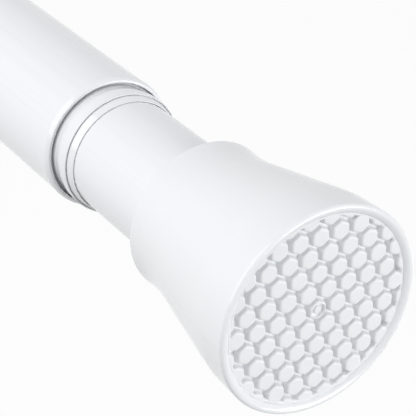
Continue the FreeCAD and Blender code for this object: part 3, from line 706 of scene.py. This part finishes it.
def coil_mesh(shape):
    """The compression spring: a closed turn, open turns and a closed turn, eased into each other."""
    start, end = SPRING_ENDS[0] + shape.wire, SPRING_ENDS[1] - shape.wire
    open_pitch = (end - start - 2 * shape.closed_pitch) / shape.turns
    bend = open_pitch - shape.closed_pitch
    last = shape.turns + 1

    def advance(turn):
        if turn < 1:
            place = turn * shape.closed_pitch
        elif turn < last:
            place = shape.closed_pitch + (turn - 1) * open_pitch
        else:
            place = shape.closed_pitch * (turn - last + 1) + shape.turns * open_pitch
        for corner, sign in ((1, 1), (last, -1)):
            near = max(0.0, COIL_EASE - abs(turn - corner))
            place += sign * bend * near * near / (4 * COIL_EASE)
        return start + place

    section = [(shape.wire * math.cos(t), shape.wire * math.sin(t)) for t in turns_round(WIRE_SIDES)]
    path = helix(SPRING_OUTER_R - shape.wire, advance, shape.turns + 2, COIL_STEPS)
    return swept(path, section, "compression_coil")


def thread_mesh(shape):
    """Ridge of the lock screw's thread on the stretch between the nut's furthest place and the clip."""
    lead = shape.thread_lead
    start = NUT_END + shape.wedge_travel + lead / 2
    turns = (CLIP_FACE - lead / 2 - start) / lead
    foot, crest, high = HALF_FOOT * lead, HALF_CREST * lead, shape.thread_height
    section = [(-THREAD_SUNK, -foot), (high, -crest), (high, crest), (-THREAD_SUNK, foot)]
    path = helix(shape.thread_radius, lambda turn: start + turn * lead, turns, THREAD_STEPS)
    return swept(path, section, "lock_screw_thread")


class ROD_OT_enamel_tubes(bpy.types.Operator):
    """Enamels the two tubes"""

    bl_idname = "rod.enamel_tubes"
    bl_label = "Enamel Tubes"

    def execute(self, context):
        paint_nodes(("white_enamelled_steel",), context.scene.rod_finishes)
        return {"FINISHED"}


class ROD_OT_gloss_mouldings(bpy.types.Operator):
    """Finishes the feet and the guide collar in gloss plastic"""

    bl_idname = "rod.gloss_mouldings"
    bl_label = "Gloss Mouldings"

    def execute(self, context):
        paint_nodes(("white_gloss_plastic",), context.scene.rod_finishes)
        return {"FINISHED"}


class ROD_OT_honeycomb_pads(bpy.types.Operator):
    """Makes both pads with their rounded hexagons"""

    bl_idname = "rod.honeycomb_pads"
    bl_label = "Honeycomb Pads"

    def execute(self, context):
        look = context.scene.rod_finishes
        mesh = pad_mesh(context.scene.rod_pad)
        moving = turned_to_moving_end(mesh)
        new_piece("fixed_honeycomb_pad", mesh, "white_soft_pad", "outer", look, ("fixed_end_pad",))
        new_piece("moving_honeycomb_pad", moving, "white_soft_pad", "inner", look, ("moving_end_pad",))
        return {"FINISHED"}


class ROD_OT_lock_parts(bpy.types.Operator):
    """Finishes the lock's parts and cuts the screw's thread"""

    bl_idname = "rod.lock_parts"
    bl_label = "Lock Parts"

    def execute(self, context):
        look = context.scene.rod_finishes
        paint_nodes(("natural_plastic", "grey_plastic", "black_rubber", "zinc_steel", "spring_steel"), look)
        new_piece("lock_screw_thread", thread_mesh(context.scene.rod_lock), "zinc_steel", "stem", look)
        return {"FINISHED"}


class ROD_OT_pressing_spring(bpy.types.Operator):
    """Winds the compression spring"""

    bl_idname = "rod.pressing_spring"
    bl_label = "Pressing Spring"

    def execute(self, context):
        shape = context.scene.rod_lock
        coil = new_piece("compression_coil", coil_mesh(shape), "spring_steel", "stem",
                         context.scene.rod_finishes, ("compression_spring",))
        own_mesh(coil)
        return {"FINISHED"}


def studio_world(studio):
    """Even grey light from all round, which the camera and reflections see as white."""
    world = bpy.data.worlds.new("studio_world")
    world.use_nodes = True
    world.node_tree.nodes.clear()
    bpy.context.scene.world = world
    tree = ShaderTree(world.node_tree)
    grey = tree.node("ShaderNodeBackground", {}, {"Color": SKY_COLOUR, "Strength": studio.sky})
    white = tree.node("ShaderNodeBackground", {}, {"Color": WHITE, "Strength": 1.0})
    tree.node("ShaderNodeOutputWorld", {}, {"Surface": tree.mix_for_rays(white, grey)})


def studio_floor(studio):
    """Pale floor that keeps the rod's shadow and is seen through from below."""
    mesh = bpy.data.meshes.new("studio_floor")
    corners = [(x * FLOOR_REACH, y * FLOOR_REACH, -studio.floor_drop)
               for x, y in ((-1, -1), (1, -1), (1, 1), (-1, 1))]
    mesh.from_pydata(corners, [], [(0, 1, 2, 3)])
    floor = bpy.data.objects.new("studio_floor", mesh)
    bpy.context.scene.collection.objects.link(floor)
    finish = Finish("studio_floor_look", Base_Color=FLOOR_COLOUR, Roughness=0.9)
    own = Signal(finish, finish.shader.outputs[0])
    white = finish.node("ShaderNodeEmission", {}, {"Color": WHITE, "Strength": 1.0})
    pale = finish.node("ShaderNodeMixShader", {}, {"Fac": 1.0 - studio.floor_shade, 1: own, 2: white})
    dull = finish.node("ShaderNodeBsdfDiffuse", {}, {"Color": shaded((1.0, 1.0, 1.0), studio.bounce)})
    clear = finish.node("ShaderNodeBsdfTransparent")
    under = finish.node("ShaderNodeNewGeometry", output="Backfacing")
    above = finish.mix_for_rays(pale, dull)
    whole = finish.node("ShaderNodeMixShader", {}, {"Fac": under, 1: above, 2: clear})
    finish.feed(finish.node_tree.nodes["Material Output"].inputs["Surface"], whole)
    mesh.materials.append(finish.material)


def soft_lamp(name, towards, distance, width, target, level):
    """Square area lamp that gives a share of a plain light level at its target."""
    lamp = bpy.data.lights.new(name, "AREA")
    lamp.shape = "SQUARE"
    lamp.size = width
    lamp.energy = level * math.pi ** 2 * distance ** 2
    holder = bpy.data.objects.new(name, lamp)
    way = Vector(towards).normalized()
    holder.location = target + way * distance
    holder.rotation_euler = way.to_track_quat("Z", "Y").to_euler()
    bpy.context.scene.collection.objects.link(holder)


def studio_camera(studio):
    """Camera at the photograph's place: before the moving foot, looking down along the rod."""
    camera = bpy.data.cameras.new("photo_camera")
    camera.sensor_width = 36.0
    camera.lens = studio.lens
    camera.clip_start, camera.clip_end = CAMERA_CLIP
    holder = bpy.data.objects.new("photo_camera", camera)
    holder.location = Vector((MOVING_RIM, 0.0, 0.0)) + Vector(CAMERA_PLACE)
    holder.rotation_euler = Vector(CAMERA_FORWARD).to_track_quat("-Z", "Y").to_euler()
    bpy.context.scene.collection.objects.link(holder)
    bpy.context.scene.camera = holder


class ROD_OT_studio(bpy.types.Operator):
    """Sets up the floor, the light and the camera"""

    bl_idname = "rod.studio"
    bl_label = "Studio"

    def execute(self, context):
        studio = context.scene.rod_studio
        target = Vector((MOVING_RIM - LAMP_AIM, 0.0, 0.0))
        studio_world(studio)
        studio_floor(studio)
        soft_lamp(*KEY_LAMP, target, studio.key)
        soft_lamp(*FILL_LAMP, target, studio.fill)
        studio_camera(studio)
        context.scene.view_settings.view_transform = "Standard"
        return {"FINISHED"}


OPERATORS = (ROD_OT_enamel_tubes, ROD_OT_gloss_mouldings, ROD_OT_honeycomb_pads,
             ROD_OT_lock_parts, ROD_OT_pressing_spring, ROD_OT_studio)
GROUPS = {"rod_finishes": RodFinishes, "rod_pad": PadShape, "rod_lock": LockShape, "rod_studio": StudioSetup}


class ROD_PT_looks(bpy.types.Panel):
    """Lists the pieces and their sizes"""

    bl_idname = "ROD_PT_looks"
    bl_label = "Tension Rod"
    bl_space_type = "VIEW_3D"
    bl_region_type = "UI"
    bl_category = "Tension Rod"

    def draw(self, context):
        for operator in OPERATORS:
            self.layout.operator(operator.bl_idname)
        for name, group in GROUPS.items():
            box = self.layout.box()
            for field in group.__annotations__:
                box.prop(getattr(context.scene, name), field)


def register():
    for group in GROUPS.values():
        bpy.utils.register_class(group)
    for cls in OPERATORS + (ROD_PT_looks,):
        bpy.utils.register_class(cls)
    for name, group in GROUPS.items():
        setattr(bpy.types.Scene, name, PointerProperty(type=group))


def unregister():
    for name in GROUPS:
        delattr(bpy.types.Scene, name)
    for cls in (ROD_PT_looks,) + OPERATORS[::-1]:
        bpy.utils.unregister_class(cls)
    for group in GROUPS.values():
        bpy.utils.unregister_class(group)


def main():
    register()
    bpy.ops.rod.enamel_tubes()
    bpy.ops.rod.gloss_mouldings()
    bpy.ops.rod.honeycomb_pads()
    bpy.ops.rod.lock_parts()
    bpy.ops.rod.pressing_spring()
    bpy.ops.rod.studio()


if __name__ == "__main__":
    main()
